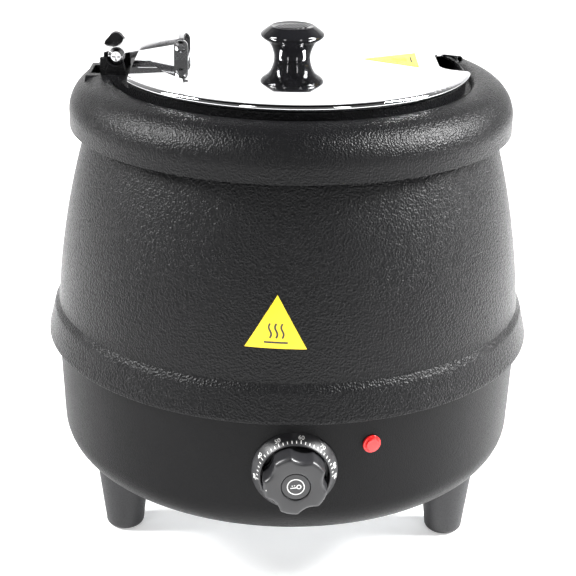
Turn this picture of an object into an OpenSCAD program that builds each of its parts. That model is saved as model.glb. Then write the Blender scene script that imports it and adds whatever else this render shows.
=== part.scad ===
// Ten-litre wet-well soup kettle. The floor is z = 0 and the body's axis is the Z axis.
// The temperature dial faces -Y, and the lid's hinge stands on the -X side.

/* [Body] */
// diameter of the flared edge where the upper shell laps the lower shell, mm
body_d = 340; // [320:1:400]
// floor to the underside of the lower shell, mm
base_z = 46; // [40:1:60]
// underside of the lower shell to the flared edge, mm
lower_h = 87.5; // [80:0.5:110]
// flared edge to the top of the upper shell, mm
upper_h = 154.5; // [130:0.5:190]
// height of the flared band on the upper shell, mm
band_h = 24.5; // [18:0.5:32]
// how far the band flares out past the upper shell, mm
band_flare = 7.9; // [6:0.1:10]
// radius of the bow in the side of the upper shell, mm
barrel_bow = 536; // [400:1:1200]
// corner radius under the lower shell, mm
lower_corner = 24; // [16:1:28]
// sheet thickness of the two shells, mm
shell_t = 1.2; // [1:0.1:2]

/* [Pot and tank] */
// outside diameter of the lift-out soup pot, mm
pot_d = 244; // [210:1:256]
// sheet thickness of the pot and the water tank, mm
vessel_t = 1; // [0.8:0.1:1.5]
// width of the water space around the pot, mm
water_gap = 6; // [5:0.5:9]
// depth of the water space under the pot, mm
water_depth = 10; // [8:1:20]
// lower shell underside to the tank floor, where the heater sits, mm
heater_bay = 20; // [20:1:30]
// clearance between parts that lift off one another, mm
lift_gap = 0.3; // [0.3:0.1:0.6]

/* [Cover ring] */
// height of the ring's outer wall and shoulder together, mm
ring_h = 32; // [30:0.5:38]
// radius of the ring's rounded shoulder, mm
ring_shoulder = 22.5; // [18:0.5:24]
// wall thickness of the ring, mm
ring_t = 2; // [1.6:0.1:2.4]
// angle of the hinge from the side of the kettle, towards the back, degrees
hinge_turn = 2; // [-15:1:15]

/* [Lid] */
// how much smaller the lid's diameter is than the pot's, mm
lid_undersize = 4; // [2:1:10]
// sheet thickness of the lid, mm
lid_t = 1.2; // [1:0.1:2]
// radius of the rolled bead round the lid, mm
lid_bead = 2.2; // [1.8:0.1:2.6]
// rise of the lid's flat centre above its bead, mm
lid_rise = 2.6; // [1:0.1:5]
// width of the slope between the lid's flat centre and its bead, mm
lid_slope_w = 21; // [15:1:26]
// width of the ladle notch, mm
notch_w = 46; // [30:1:60]
// depth of the ladle notch, mm
notch_l = 22.5; // [15:0.5:30]
// angle of the ladle notch from the point opposite the hinge, degrees
notch_turn = 0; // [-15:1:15]
// distance from the lid's centre to its straight edge at the hinge, mm
lid_chord = 105; // [90:1:110]

/* [Lid knob] */
// largest diameter of the lid knob, mm
lid_knob_d = 43; // [34:1:50]
// height of the lid knob, mm
lid_knob_h = 22; // [18:1:30]
// diameter of the lid knob's neck, mm
lid_knob_neck = 25.2; // [18:0.2:28]

/* [Hinge] */
// distance from the lid's edge in to the hinge pin, mm
pin_inset = 3; // [2:0.5:5]
// height of the hinge pin above the ring's top, mm
pin_rise = 12; // [11:0.5:16]
// diameter of the hinge pin, mm
pin_d = 5; // [4:0.5:6]
// running clearance round the hinge pin, mm on the radius
pin_fit = 0.05; // [0.02:0.01:0.1]
// width of the lid arm, mm
arm_w = 22; // [18:1:26]
// sheet thickness of the lid arm and its bracket, mm
arm_t = 1.5; // [1.2:0.1:2]
// distance from the lid's centre to the bracket screws, mm
bracket_r = 74; // [66:1:84]
// height of the bracket screws above the lid, mm
bracket_rise = 9; // [8:0.5:12]
// height of the turned-up lip at the end of the arm, mm
lip_h = 9; // [4:0.5:12]
// width of each hinge ear on the ring, mm
ear_w = 5; // [4:0.5:7]

/* [Controls] */
// height of the dial's centre above the floor, mm
dial_z = 98.5; // [94:0.5:106]
// outside diameter of the dial plate, mm
dial_d = 54; // [48:1:60]
// how far the dial plate stands off the shell, mm
dial_h = 8.6; // [6:0.2:11]
// diameter over the lobes of the temperature knob, mm
temp_knob_d = 41; // [36:1:42]
// how far the temperature knob stands out past the dial plate, mm
temp_knob_out = 12.6; // [8:0.2:16]
// diameter of the thermostat shaft, mm
shaft_d = 6; // [5:0.5:6]
// running clearance round the thermostat shaft, mm on the radius
shaft_fit = 0.05; // [0.02:0.01:0.1]
// angle from the dial round to the pilot lamp, degrees
lamp_turn = 17.2; // [14:0.1:30]
// height of the pilot lamp above the dial's centre, mm
lamp_rise = 15.5; // [0:0.5:20]
// diameter of the pilot lamp's lens, mm
lamp_d = 11.8; // [8:0.2:14]

/* [Feet] */
// radius at which the feet stand, mm
foot_r = 131; // [100:1:134]
// diameter of a foot at the floor, mm
foot_d = 26.6; // [20:0.2:32]
// widening of a foot from the floor up, mm on the diameter
foot_taper = 9.4; // [4:0.2:12]
// turn of the three feet about the axis, degrees
foot_turn = -2; // [-30:1:30]

/* [Mains inlet] */
// height of the cable gland above the floor, mm
gland_z = 80; // [76:1:100]
// how far the gland stands out behind the shell, mm
gland_out = 22; // [18:0.5:30]
// bore of the gland for a flexible cord, mm
gland_bore = 7.2; // [6:0.1:9]

/* [Labels] */
// side of the body's warning triangle, mm
label_side = 38; // [25:0.5:45]
// side of the lid's warning triangle, mm
lid_label_side = 41.5; // [25:0.5:44]
// height of the body label's centre above the floor, mm
label_z = 192; // [180:1:220]
// turn of the body label from the dial, towards the left, degrees
label_turn = 4.6; // [0:0.1:20]
// distance of the lid label's centre from the lid's centre, mm
lid_label_r = 72; // [50:1:80]

/* [Hidden] */
fine = 180;
mid = 72;
small = 40;

band_r = body_d / 2;
waist_r = band_r - band_flare;
band_z = base_z + lower_h;
crease_z = band_z + band_h;
top_z = band_z + upper_h;
lower_r = band_r - 8.7;
lower_top_r = band_r - 6;
lower_top_z = band_z + band_h - 8;

pot_r = pot_d / 2;
tank_r = pot_r + water_gap + vessel_t;
neck_r = tank_r + 7;
tank_floor_z = base_z + heater_bay;
pot_floor_z = tank_floor_z + vessel_t + water_depth;
tank_rim_z = top_z + vessel_t;
pot_rim_z = tank_rim_z + lift_gap;
pot_bead = 1.6;
pot_rim_r = neck_r - 3;
pot_top_z = pot_rim_z + 2 * pot_bead;

lid_r = (pot_d - lid_undersize) / 2;
ring_r = neck_r + 14;
ring_top_z = top_z + 25.3;
ring_low_z = ring_top_z - ring_h;
ring_foot_z = pot_top_z + lift_gap;
crest_r = lid_r + 3.7;
collar_r = lid_r - 3;
collar_in_r = collar_r - 2.5;
collar_top_z = ring_top_z + 3.4;
groove_z = ring_top_z - 5;

bead_z = collar_top_z + lift_gap + lid_bead;
lid_edge_z = bead_z + lid_bead - lid_t;
lid_under_z = lid_edge_z + lid_rise - 0.6;
lid_top_z = lid_under_z + lid_t;

pin_x = -(lid_r - pin_inset);
pin_z = ring_top_z + pin_rise;
tail_l = 17;
ear_in = arm_w / 2 + 1;
ear_out = ear_in + ear_w;
pad_out = ring_r - 13;
crest_round = 5;
cheek_out = 10.3;
deck_x = lid_chord - 4;
arm_low_z = pin_z + pin_d / 2 + 3.9;
arm_high_z = lid_top_z + bracket_rise + 5.2;
arm_end_x = -bracket_r + 2;
lug_in = arm_w / 2 + 0.3;
lug_out = lug_in + arm_t;
lug_r = 4.65;
inner_ear_r = pin_d / 2 + 1.4;
inner_ear_y = arm_w / 2 - arm_t - lift_gap - ear_w;
// lean of the inner ear's stem, which follows the arm's tail when the lid stands open
open_angle = 95;
ear_lean = atan2(arm_low_z - pin_z - 0.8, tail_l + 0.7) + open_angle - 90;

// outside radius of the lower shell's wall at height z
function wall_at(z) = lower_r + (lower_top_r - lower_r) * (z - base_z - lower_corner)
    / (lower_top_z - base_z - lower_corner);
wall_y = -wall_at(dial_z);
lamp_y = -wall_at(dial_z + lamp_rise);
gland_y = wall_at(gland_z);
dial_face_y = wall_y - dial_h;
knob_back_y = wall_y - 2.4;
knob_face_y = dial_face_y - temp_knob_out;
knob_rest = 187;

base_screw_r = lower_r - lower_corner - 8.3;
stud_r = 60;
bulb_x = -22;
bulb_l = 54;
element_r = 85;
element_d = 8.5;
stud_d = 5;

// ---- shared outlines ----

// centre of the circle of radius r that passes through a and b, on the axis side
function bow_centre(a, b, r) =
    let (m = (a + b) / 2, v = b - a, l = norm(v), h = sqrt(r * r - l * l / 4))
    m + h * [-v[1], v[0]] / l;

// filled half-section of a straight-sided vessel with a rounded bottom corner
module vessel_2d(r, z0, z1, corner) {
    translate([0, z0 + corner])
        square([r, z1 - z0 - corner]);
    translate([0, z0])
        square([r - corner, corner + 1]);
    translate([r - corner, z0 + corner])
        intersection() {
            circle(r = corner, $fn = mid);
            translate([0, -corner])
                square([corner, corner + 1]);
        }
}

// filled half-section of the lower shell, inset by t from its outside
module lower_2d(t) {
    translate([lower_r - lower_corner, base_z + lower_corner])
        intersection() {
            circle(r = lower_corner - t, $fn = fine);
            translate([0, -lower_corner])
                square(lower_corner);
        }
    translate([0, base_z + t])
        square([lower_r - lower_corner, lower_corner]);
    polygon([[0, base_z + lower_corner], [lower_r - t, base_z + lower_corner],
        [lower_top_r - t, lower_top_z], [0, lower_top_z]]);
}

// half-section of the bowed side of the upper shell, from inset a out to inset b
module barrel_2d(a, b) {
    centre = bow_centre([waist_r, crease_z], [neck_r, top_z], barrel_bow);
    intersection() {
        translate(centre)
            difference() {
                circle(r = barrel_bow - a, $fn = 720);
                circle(r = barrel_bow - b, $fn = 720);
            }
        translate([neck_r - 30, crease_z - 0.6])
            square([80, top_z - crease_z + 0.6]);
    }
}

// equilateral triangle with its centre on the origin and one corner towards +Y
module triangle_2d(side) {
    h = side * sqrt(3) / 2;
    polygon([[-side / 2, -h / 3], [side / 2, -h / 3], [0, 2 * h / 3]]);
}

// round bar through a list of points, with slightly fuller bends
module bar(points, d) {
    for (i = [0 : len(points) - 2]) {
        v = points[i + 1] - points[i];
        translate(points[i])
            rotate([0, acos(v[2] / norm(v)), atan2(v[1], v[0])])
                cylinder(h = norm(v), d = d, $fn = small);
    }
    for (i = [1 : len(points) - 2])
        translate(points[i])
            sphere(d = d + 0.2, $fn = small);
}

// hexagon nut lying on its lower face
module nut(across, h, bore) {
    difference() {
        cylinder(h = h, d = across / cos(30), $fn = 6);
        translate([0, 0, -1])
            cylinder(h = h + 2, d = bore, $fn = small);
    }
}

// round screw head with a cross recess, its underside on z = 0
module pan_head(d, h) {
    difference() {
        union() {
            cylinder(h = h * 0.5, d = d, $fn = small);
            translate([0, 0, h * 0.5])
                cylinder(h = h * 0.5, d1 = d, d2 = d * 0.62, $fn = small);
        }
        for (a = [0, 90])
            rotate(a)
                translate([-d * 0.26, -d * 0.06, h * 0.45])
                    cube([d * 0.52, d * 0.12, h]);
    }
}

// puts children written with +Z outwards onto the front of the kettle
module on_front(y, z) {
    translate([0, y, z])
        rotate([90, 0, 0])
            children();
}

// turns the ring, arm and lid to where the hinge stands
module at_hinge() {
    rotate(-hinge_turn)
        children();
}

// ---- body ----

module upper_shell() {
    color([0.06, 0.06, 0.065])
        union() {
            rotate_extrude($fn = fine) {
                barrel_2d(0, shell_t);
                translate([tank_r + 0.4, top_z - shell_t])
                    square([neck_r - tank_r - 0.5, shell_t]);
            }
            rotate_extrude($fn = fine)
                polygon([[waist_r - 0.5, crease_z + 0.7], [band_r - 4.7, crease_z - 4.5],
                    [band_r - 0.3, band_z + 2.6], [band_r, band_z + 1.4], [band_r - 0.4, band_z],
                    [band_r - 1.9, band_z], [band_r - 1.6, band_z + 2.2], [band_r - 6, crease_z - 5],
                    [waist_r - 0.9, crease_z + 0.7]]);
        }
}

module lower_shell() {
    color([0.10, 0.10, 0.11])
        difference() {
            rotate_extrude($fn = fine)
                difference() {
                    lower_2d(0);
                    lower_2d(shell_t);
                    translate([-1, base_z - 1])
                        square([base_screw_r - 6, shell_t + 2]);
                }
            on_front(-lower_r + 30, dial_z)
                cylinder(h = 60, d = 13, $fn = small);
            for (x = [-14, 14])
                translate([x, 0, 0])
                    on_front(-lower_r + 30, dial_z)
                        cylinder(h = 60, d = 4.4, $fn = small);
            rotate(lamp_turn)
                on_front(-lower_r + 30, dial_z + lamp_rise)
                    cylinder(h = 60, d = lamp_d - 2.8, $fn = small);
            translate([0, lower_r + 10, gland_z])
                rotate([90, 0, 0])
                    cylinder(h = 30, d = 16.2, $fn = small);
            screw_places()
                translate([0, 0, base_z - 1])
                    cylinder(h = 4, d = 4, $fn = small);
            foot_places()
                translate([0, 0, base_z - 1])
                    cylinder(h = 4, d = 5.4, $fn = small);
        }
}

// places of the base plate's screws, clear of the feet
module screw_places() {
    for (a = [0 : 60 : 300])
        rotate(a + foot_turn)
            translate([base_screw_r, 0, 0])
                children();
}

module foot_places() {
    for (a = [-150, -30, 90])
        rotate(a + foot_turn)
            translate([foot_r, 0, 0])
                children();
}

module base_plate() {
    plate_z = base_z + shell_t;
    color([0.55, 0.56, 0.57])
        difference() {
            translate([0, 0, plate_z])
                cylinder(h = shell_t, r = lower_r - lower_corner - 1, $fn = fine);
            screw_places()
                translate([0, 0, plate_z - 1])
                    cylinder(h = 4, d = 3.4, $fn = small);
            foot_places()
                translate([0, 0, plate_z - 1])
                    cylinder(h = 4, d = 5.4, $fn = small);
            for (a = [0, 120, 240])
                rotate(a + 30)
                    translate([stud_r, 0, plate_z - 1])
                        cylinder(h = 4, d = stud_d + 0.6, $fn = small);
            for (a = [0 : 30 : 330], r = [88, 104])
                rotate(a + 15)
                    translate([r, 0, plate_z - 1])
                        cylinder(h = 4, d = 8, $fn = small);
        }
}

module base_screws() {
    color([0.7, 0.7, 0.72])
        screw_places()
            translate([0, 0, base_z]) {
                cylinder(h = 7, d = 3.3, $fn = small);
                rotate([180, 0, 0])
                    pan_head(7, 2.4);
            }
}

module feet() {
    top = base_z + 14;
    color([0.04, 0.04, 0.045])
        difference() {
            foot_places()
                difference() {
                    rotate_extrude($fn = mid) {
                        square([foot_d / 2 - 5, 5]);
                        translate([foot_d / 2 - 5, 5])
                            circle(r = 5, $fn = small);
                        polygon([[0, 4.9], [foot_d / 2, 4.9],
                            [(foot_d + foot_taper * top / base_z) / 2, top], [0, top]]);
                    }
                    translate([0, 0, -1])
                        cylinder(h = 26, d = 10, $fn = small);
                    translate([0, 0, 20])
                        cylinder(h = 60, d = 5.4, $fn = small);
                }
            rotate_extrude($fn = fine)
                lower_2d(0);
        }
}

module foot_screws() {
    color([0.7, 0.7, 0.72])
        foot_places() {
            translate([0, 0, 25])
                cylinder(h = base_z + 2 * shell_t - 25 + 8, d = 5, $fn = small);
            translate([0, 0, 25])
                rotate([180, 0, 0])
                    pan_head(9, 3.4);
            translate([0, 0, base_z + 2 * shell_t])
                nut(8, 4, 4.9);
        }
}

// ---- water tank and heater ----

module water_tank() {
    color([0.72, 0.73, 0.74])
        rotate_extrude($fn = fine) {
            difference() {
                vessel_2d(tank_r, tank_floor_z, tank_rim_z, 10);
                vessel_2d(tank_r - vessel_t, tank_floor_z + vessel_t, tank_rim_z + 1, 9);
            }
            translate([tank_r - vessel_t, top_z])
                square([neck_r - tank_r, vessel_t]);
        }
}

module stud_places() {
    for (a = [0, 120, 240])
        rotate(a + 30)
            translate([stud_r, 0, 0])
                children();
}

module tank_studs() {
    color([0.7, 0.7, 0.72])
        stud_places()
            translate([0, 0, base_z - 5])
                cylinder(h = tank_floor_z - base_z + 5, d = stud_d, $fn = small);
}

module base_nuts() {
    color([0.7, 0.7, 0.72])
        stud_places()
            translate([0, 0, base_z + shell_t - 4])
                nut(8, 4, stud_d);
}

module heating_element() {
    z = tank_floor_z - element_d / 2 - 0.05;
    color([0.32, 0.31, 0.30])
        translate([0, 0, z]) {
            rotate(100)
                rotate_extrude(angle = 340, $fn = fine)
                    translate([element_r, 0])
                        circle(d = element_d, $fn = small);
            for (a = [80, 100])
                rotate(a) {
                    translate([element_r, 0, 0])
                        sphere(d = element_d, $fn = small);
                    translate([element_r, 0, 0])
                        rotate([0, -90, 0])
                            cylinder(h = 28, d = element_d, $fn = small);
                    translate([element_r - 27, 0, 0])
                        rotate([0, -90, 0])
                            cylinder(h = 10, d = 3, $fn = small);
                }
        }
}

module heater_clamp() {
    z = tank_floor_z - element_d - 1.6;
    color([0.6, 0.6, 0.62])
        difference() {
            translate([0, 0, z])
                cylinder(h = 1.5, r = element_r + 8, $fn = fine);
            translate([0, 0, z - 1])
                cylinder(h = 4, r = 43, $fn = mid);
            stud_places()
                translate([0, 0, z - 1])
                    cylinder(h = 4, d = stud_d + 0.6, $fn = small);
            translate([-16, 30, z - 1])
                cube([32, 34, 4]);
        }
}

module clamp_nuts() {
    color([0.7, 0.7, 0.72])
        stud_places()
            translate([0, 0, tank_floor_z - element_d - 5.6])
                nut(8, 4, stud_d);
}

module overheat_cutout() {
    color([0.18, 0.17, 0.16])
        translate([0, 0, tank_floor_z - 9]) {
            cylinder(h = 9, d = 19, $fn = mid);
            translate([-13, -4, 6])
                cube([26, 8, 1]);
            for (x = [-5, 4])
                translate([x, -3, -6])
                    cube([1, 6, 7]);
        }
}

// ---- thermostat and dial ----

module thermostat_body() {
    front = wall_y + 3.4;
    depth = 24;
    color([0.75, 0.74, 0.70])
        difference() {
            union() {
                translate([-18, front, dial_z - 16])
                    cube([36, depth, 32]);
                on_front(front, dial_z)
                    cylinder(h = 3.4, d = 12.6, $fn = small);
            }
            on_front(front + 18, dial_z)
                cylinder(h = 30, d = shaft_d + 2 * shaft_fit, $fn = small);
            for (x = [-14, 14])
                translate([x, 0, 0])
                    on_front(front + 8, dial_z)
                        cylinder(h = 20, d = 3.9, $fn = small);
        }
}

module thermostat_shaft() {
    front = wall_y + 3.4;
    color([0.7, 0.7, 0.72])
        on_front(front + 16, dial_z)
            cylinder(h = front + 16 - (knob_face_y + 6), d = shaft_d, $fn = small);
}

module thermostat_screws() {
    color([0.7, 0.7, 0.72])
        for (x = [-14, 14])
            translate([x, 0, 0])
                on_front(wall_y - 0.4, dial_z) {
                    translate([0, 0, -11])
                        cylinder(h = 11.2, d = 3.9, $fn = small);
                    pan_head(6.4, 1.6);
                }
}

module thermostat_bulb() {
    color([0.72, 0.45, 0.30])
        translate([bulb_x, 0, tank_floor_z - 3.05])
            rotate([90, 0, 0])
                cylinder(h = bulb_l, d = 6, center = true, $fn = small);
}

module capillary_tube() {
    y = wall_y + 14;
    z = base_z + 7;
    color([0.72, 0.45, 0.30])
        bar([[bulb_x, -bulb_l / 2, tank_floor_z - 3.05], [bulb_x, -34, tank_floor_z - 3.05],
            [bulb_x, -34, z], [bulb_x, -120, z], [-8, y, z + 14], [-8, y, dial_z - 16]], 2);
}

module dial_plate() {
    inner = temp_knob_d / 2 + 0.8;
    color([0.12, 0.12, 0.13])
        difference() {
            on_front(wall_y + 3, dial_z)
                rotate_extrude($fn = fine)
                    polygon([[6.6, 0], [dial_d / 2, 0], [dial_d / 2, 3.6], [dial_d / 2 - 0.4, 4],
                        [inner + 1, 3 + dial_h], [inner, 2.6 + dial_h], [inner, 4.4], [6.6, 4.4]]);
            for (x = [-14, 14])
                translate([x, 0, 0])
                    on_front(wall_y + 10, dial_z) {
                        cylinder(h = 30, d = 4.4, $fn = small);
                        translate([0, 0, 10.4])
                            cylinder(h = 10, d = 7.4, $fn = small);
                    }
            rotate_extrude($fn = fine)
                lower_2d(0);
        }
}

// angle on the dial of a temperature, from 30 at the left over the top to 85 at the right
function dial_angle(t) = 185 - (t - 30) * 3.44;

// strokes of one figure: top, upper right, lower right, bottom, lower left, upper left, middle
function strokes(n) = [[1, 1, 1, 1, 1, 1, 0], [0, 1, 1, 0, 0, 0, 0], [1, 1, 0, 1, 1, 0, 1],
    [1, 1, 1, 1, 0, 0, 1], [0, 1, 1, 0, 0, 1, 1], [1, 0, 1, 1, 0, 1, 1], [1, 0, 1, 1, 1, 1, 1],
    [1, 1, 1, 0, 0, 0, 0], [1, 1, 1, 1, 1, 1, 1], [1, 1, 1, 1, 0, 1, 1]][n];

module figure(n) {
    s = strokes(n);
    w = 1.5;
    h = 1.5;
    b = 0.4;
    long = w + b;
    tall = h + b;
    places = [[-w / 2, h, long, b], [w / 2, 0, b, tall], [w / 2, -h, b, tall],
        [-w / 2, -h, long, b], [-w / 2, -h, b, tall], [-w / 2, 0, b, tall], [-w / 2, 0, long, b]];
    for (i = [0 : 6])
        if (s[i] == 1)
            translate([places[i][0], places[i][1]])
                square([places[i][2], places[i][3]]);
}

// puts flat print on the dial's cone at an angle and a distance in from its outer edge
module on_dial(angle, r) {
    inner = temp_knob_d / 2 + 1.8;
    slope = atan2(dial_h - 1, dial_d / 2 - 0.4 - inner);
    rise = 4 + (dial_d / 2 - 0.4 - r) * tan(slope);
    on_front(wall_y + 3, dial_z)
        rotate(angle - 90)
            translate([0, r, rise])
                rotate([-slope, 0, 0])
                    children();
}

module dial_marks() {
    color([0.92, 0.92, 0.9]) {
        for (t = [30 : 2 : 84])
            on_dial(dial_angle(t), dial_d / 2 - 3.4)
                translate([-0.35, -0.9, 0])
                    cube([0.7, 1.8, 0.12]);
        for (t = [30, 40, 50, 60, 70, 80, 85])
            on_dial(dial_angle(t), dial_d / 2 - 1.55) {
                translate([-1.3, 0, 0])
                    linear_extrude(0.12)
                        figure(floor(t / 10));
                translate([1.3, 0, 0])
                    linear_extrude(0.12)
                        figure(t - 10 * floor(t / 10));
            }
    }
}

module temperature_knob() {
    length = knob_back_y - knob_face_y;
    r = temp_knob_d / 2;
    color([0.13, 0.13, 0.14])
        on_front(knob_back_y, dial_z)
            difference() {
                intersection() {
                    linear_extrude(length)
                        difference() {
                            circle(r = r, $fn = fine);
                            for (i = [0 : 4])
                                rotate(knob_rest + 36 + 72 * i)
                                    translate([r + 11, 0])
                                        circle(r = 14, $fn = mid);
                        }
                    rotate_extrude($fn = fine)
                        polygon([[0, 0], [r, 0], [r - 0.6, length - 1.2], [r - 1.5, length], [0, length]]);
                }
                translate([0, 0, length - 1.6])
                    cylinder(h = 4, r = 9, $fn = mid);
                translate([0, 0, -1])
                    cylinder(h = length - 5, d = shaft_d, $fn = small);
                translate([0, 0, -1])
                    difference() {
                        cylinder(h = length - 7, r = r - 5.2, $fn = mid);
                        cylinder(h = length - 7, r = shaft_d / 2 + 2.5, $fn = mid);
                    }
            }
}

module knob_cap() {
    color([0.10, 0.10, 0.11])
        on_front(knob_face_y + 1.6, dial_z)
            difference() {
                cylinder(h = 1.2, r = 8.8, $fn = mid);
                translate([0, 0, 0.9])
                    difference() {
                        cylinder(h = 1, r = 5.4, $fn = mid);
                        translate([0, 0, -1])
                            cylinder(h = 3, r = 4.6, $fn = mid);
                    }
            }
}

module knob_pointer() {
    color([0.92, 0.92, 0.9])
        on_front(knob_face_y, dial_z)
            rotate(knob_rest)
                translate([temp_knob_d / 2 - 6.2, -0.5, 0])
                    cube([4, 1, 0.15]);
}

module pilot_lamp() {
    color([0.85, 0.08, 0.07])
        rotate(lamp_turn)
            on_front(lamp_y, dial_z + lamp_rise) {
                translate([0, 0, -16])
                    cylinder(h = 17, d = lamp_d - 3, $fn = mid);
                translate([0, 0, 0.3])
                    cylinder(h = 1.5, d = lamp_d, $fn = mid);
                translate([0, 0, 1.8])
                    cylinder(h = 1.4, d1 = lamp_d - 1, d2 = lamp_d - 4.5, $fn = mid);
            }
}

module pilot_lamp_nut() {
    color([0.85, 0.85, 0.82])
        rotate(lamp_turn)
            on_front(lamp_y + 5.6, dial_z + lamp_rise)
                nut(12, 3.4, lamp_d - 3);
}

// ---- mains inlet and wiring ----

module cable_gland() {
    color([0.05, 0.05, 0.055])
        translate([0, gland_y, gland_z])
            rotate([-90, 0, 0])
                difference() {
                    union() {
                        translate([0, 0, -10])
                            cylinder(h = 12, d = 16, $fn = mid);
                        translate([0, 0, 0.4])
                            cylinder(h = 5, d = 22 / cos(30), $fn = 6);
                        translate([0, 0, 5.4])
                            cylinder(h = gland_out - 9.4, d = 19, $fn = mid);
                        translate([0, 0, gland_out - 4])
                            cylinder(h = 4, d1 = 19, d2 = 12, $fn = mid);
                    }
                    translate([0, 0, -11])
                        cylinder(h = gland_out + 12, d = gland_bore, $fn = mid);
                }
}

module gland_nut() {
    color([0.05, 0.05, 0.055])
        translate([0, gland_y - 6.4, gland_z])
            rotate([-90, 0, 0])
                nut(20, 4, 16);
}

module terminal_block() {
    color([0.85, 0.84, 0.78])
        difference() {
            translate([-22, 106, base_z + 2 * shell_t])
                cube([44, 16, 12]);
            for (x = [-14, 0, 14])
                translate([x, 105, base_z + 2 * shell_t + 5])
                    rotate([-90, 0, 0])
                        cylinder(h = 20, d = 3.4, $fn = small);
            for (x = [-14, 0, 14])
                translate([x, 114, base_z + 2 * shell_t + 6])
                    cylinder(h = 10, d = 3, $fn = small);
        }
}

module earth_stud() {
    color([0.72, 0.6, 0.3]) {
        translate([60, 98, base_z + 2 * shell_t])
            cylinder(h = 12, d = 4, $fn = small);
        translate([60, 98, base_z + 2 * shell_t])
            nut(7, 3.2, 3.9);
    }
}

module internal_leads() {
    z = base_z + 2 * shell_t + 5;
    color([0.45, 0.2, 0.12]) {
        bar([[-14, 105.5, z], [-14, 98, z], [-13, 58, z + 1], [-8.4, 47.6, tank_floor_z - 4.3]], 2.2);
        bar([[14, 105.5, z], [14, 98, z], [13, 58, z + 1], [8.4, 47.6, tank_floor_z - 4.3]], 2.2);
        bar([[0, 105.5, z], [0, 101, z], [0, 97, z + 5], [44, 97, z + 5], [57.9, 98, z + 2]], 2.2);
    }
}

module body_label() {
    color([0.98, 0.8, 0.02])
        intersection() {
            rotate_extrude($fn = fine)
                barrel_2d(-0.3, 0);
            rotate(-label_turn)
                on_front(-120, label_z)
                    linear_extrude(80)
                        rotate(-1)
                            triangle_2d(label_side);
        }
}

// ---- soup pot ----

module soup_pot() {
    color([0.8, 0.81, 0.82])
        rotate_extrude($fn = fine) {
            difference() {
                vessel_2d(pot_r, pot_floor_z, pot_rim_z + pot_bead, 14);
                vessel_2d(pot_r - vessel_t, pot_floor_z + vessel_t, pot_rim_z + 20, 13);
            }
            translate([pot_r - vessel_t, pot_rim_z + pot_bead - vessel_t / 2])
                square([pot_rim_r - pot_bead - pot_r + vessel_t, vessel_t]);
            translate([pot_rim_r - pot_bead, pot_rim_z + pot_bead])
                circle(r = pot_bead, $fn = small);
        }
}

// ---- cover ring ----

// half-section of the ring: outer wall, shoulder, groove, collar and the foot on the pot's rim
module ring_2d() {
    shoulder_c = [ring_r - ring_shoulder, ring_top_z - ring_shoulder];
    difference() {
        union() {
            translate([ring_r - ring_t, ring_low_z])
                square([ring_t, ring_h - ring_shoulder]);
            translate(shoulder_c)
                intersection() {
                    difference() {
                        circle(r = ring_shoulder, $fn = fine);
                        circle(r = ring_shoulder - ring_t, $fn = fine);
                    }
                    square(ring_shoulder);
                }
            translate([crest_r + 2, ring_top_z - ring_t])
                square([shoulder_c[0] - crest_r - 1.9, ring_t]);
            translate([crest_r + 2, ring_top_z - crest_round])
                intersection() {
                    difference() {
                        circle(r = crest_round, $fn = mid);
                        circle(r = crest_round - ring_t, $fn = mid);
                    }
                    translate([-crest_round, 0])
                        square(crest_round);
                }
            translate([crest_r + 2 - crest_round, groove_z - ring_t])
                square([ring_t, ring_top_z - crest_round - groove_z + ring_t + 0.1]);
            translate([collar_in_r, groove_z - ring_t])
                square([crest_r - collar_in_r - 2, ring_t]);
            translate([collar_in_r, ring_foot_z])
                square([collar_r - collar_in_r, collar_top_z - ring_foot_z - 1.25]);
            translate([(collar_in_r + collar_r) / 2, collar_top_z - 1.25])
                circle(r = 1.25, $fn = small);
            translate([collar_in_r, ring_foot_z])
                square([pot_rim_r - collar_in_r, ring_t]);
        }
    }
}

// side outline of one hinge ear, with its rounded top rise_h above the pin
module ear_2d(rise_h) {
    difference() {
        union() {
            translate([pin_x, pin_z])
                circle(r = 6.5, $fn = mid);
            translate([pin_x - 3, pin_z + rise_h - 5])
                circle(r = 5, $fn = mid);
            polygon([[pin_x - 11.5, ring_top_z - 1], [pin_x - 11.5, pin_z], [pin_x - 10.5, pin_z + rise_h * 0.42],
                [pin_x - 5.5, pin_z + rise_h - 0.7], [pin_x + 1.2, pin_z + rise_h - 2.4],
                [pin_x + 6.2, pin_z + 1.6], [pin_x + 6.5, ring_top_z - 1]]);
        }
        translate([pin_x, pin_z])
            circle(d = pin_d, $fn = mid);
    }
}

// side outline of the cheek in front of the pocket, scooped clear of the pin's head
module cheek_2d() {
    difference() {
        polygon([[pin_x - 18, ring_top_z - 1], [pin_x - cheek_out, ring_top_z - 0.6],
            [pin_x - cheek_out, pin_z - 0.7], [pin_x + 4.4, pin_z - 0.7],
            [pin_x + 7, ring_top_z - 1]]);
        translate([pin_x, pin_z])
            circle(r = 6.4, $fn = mid);
    }
}

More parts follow.
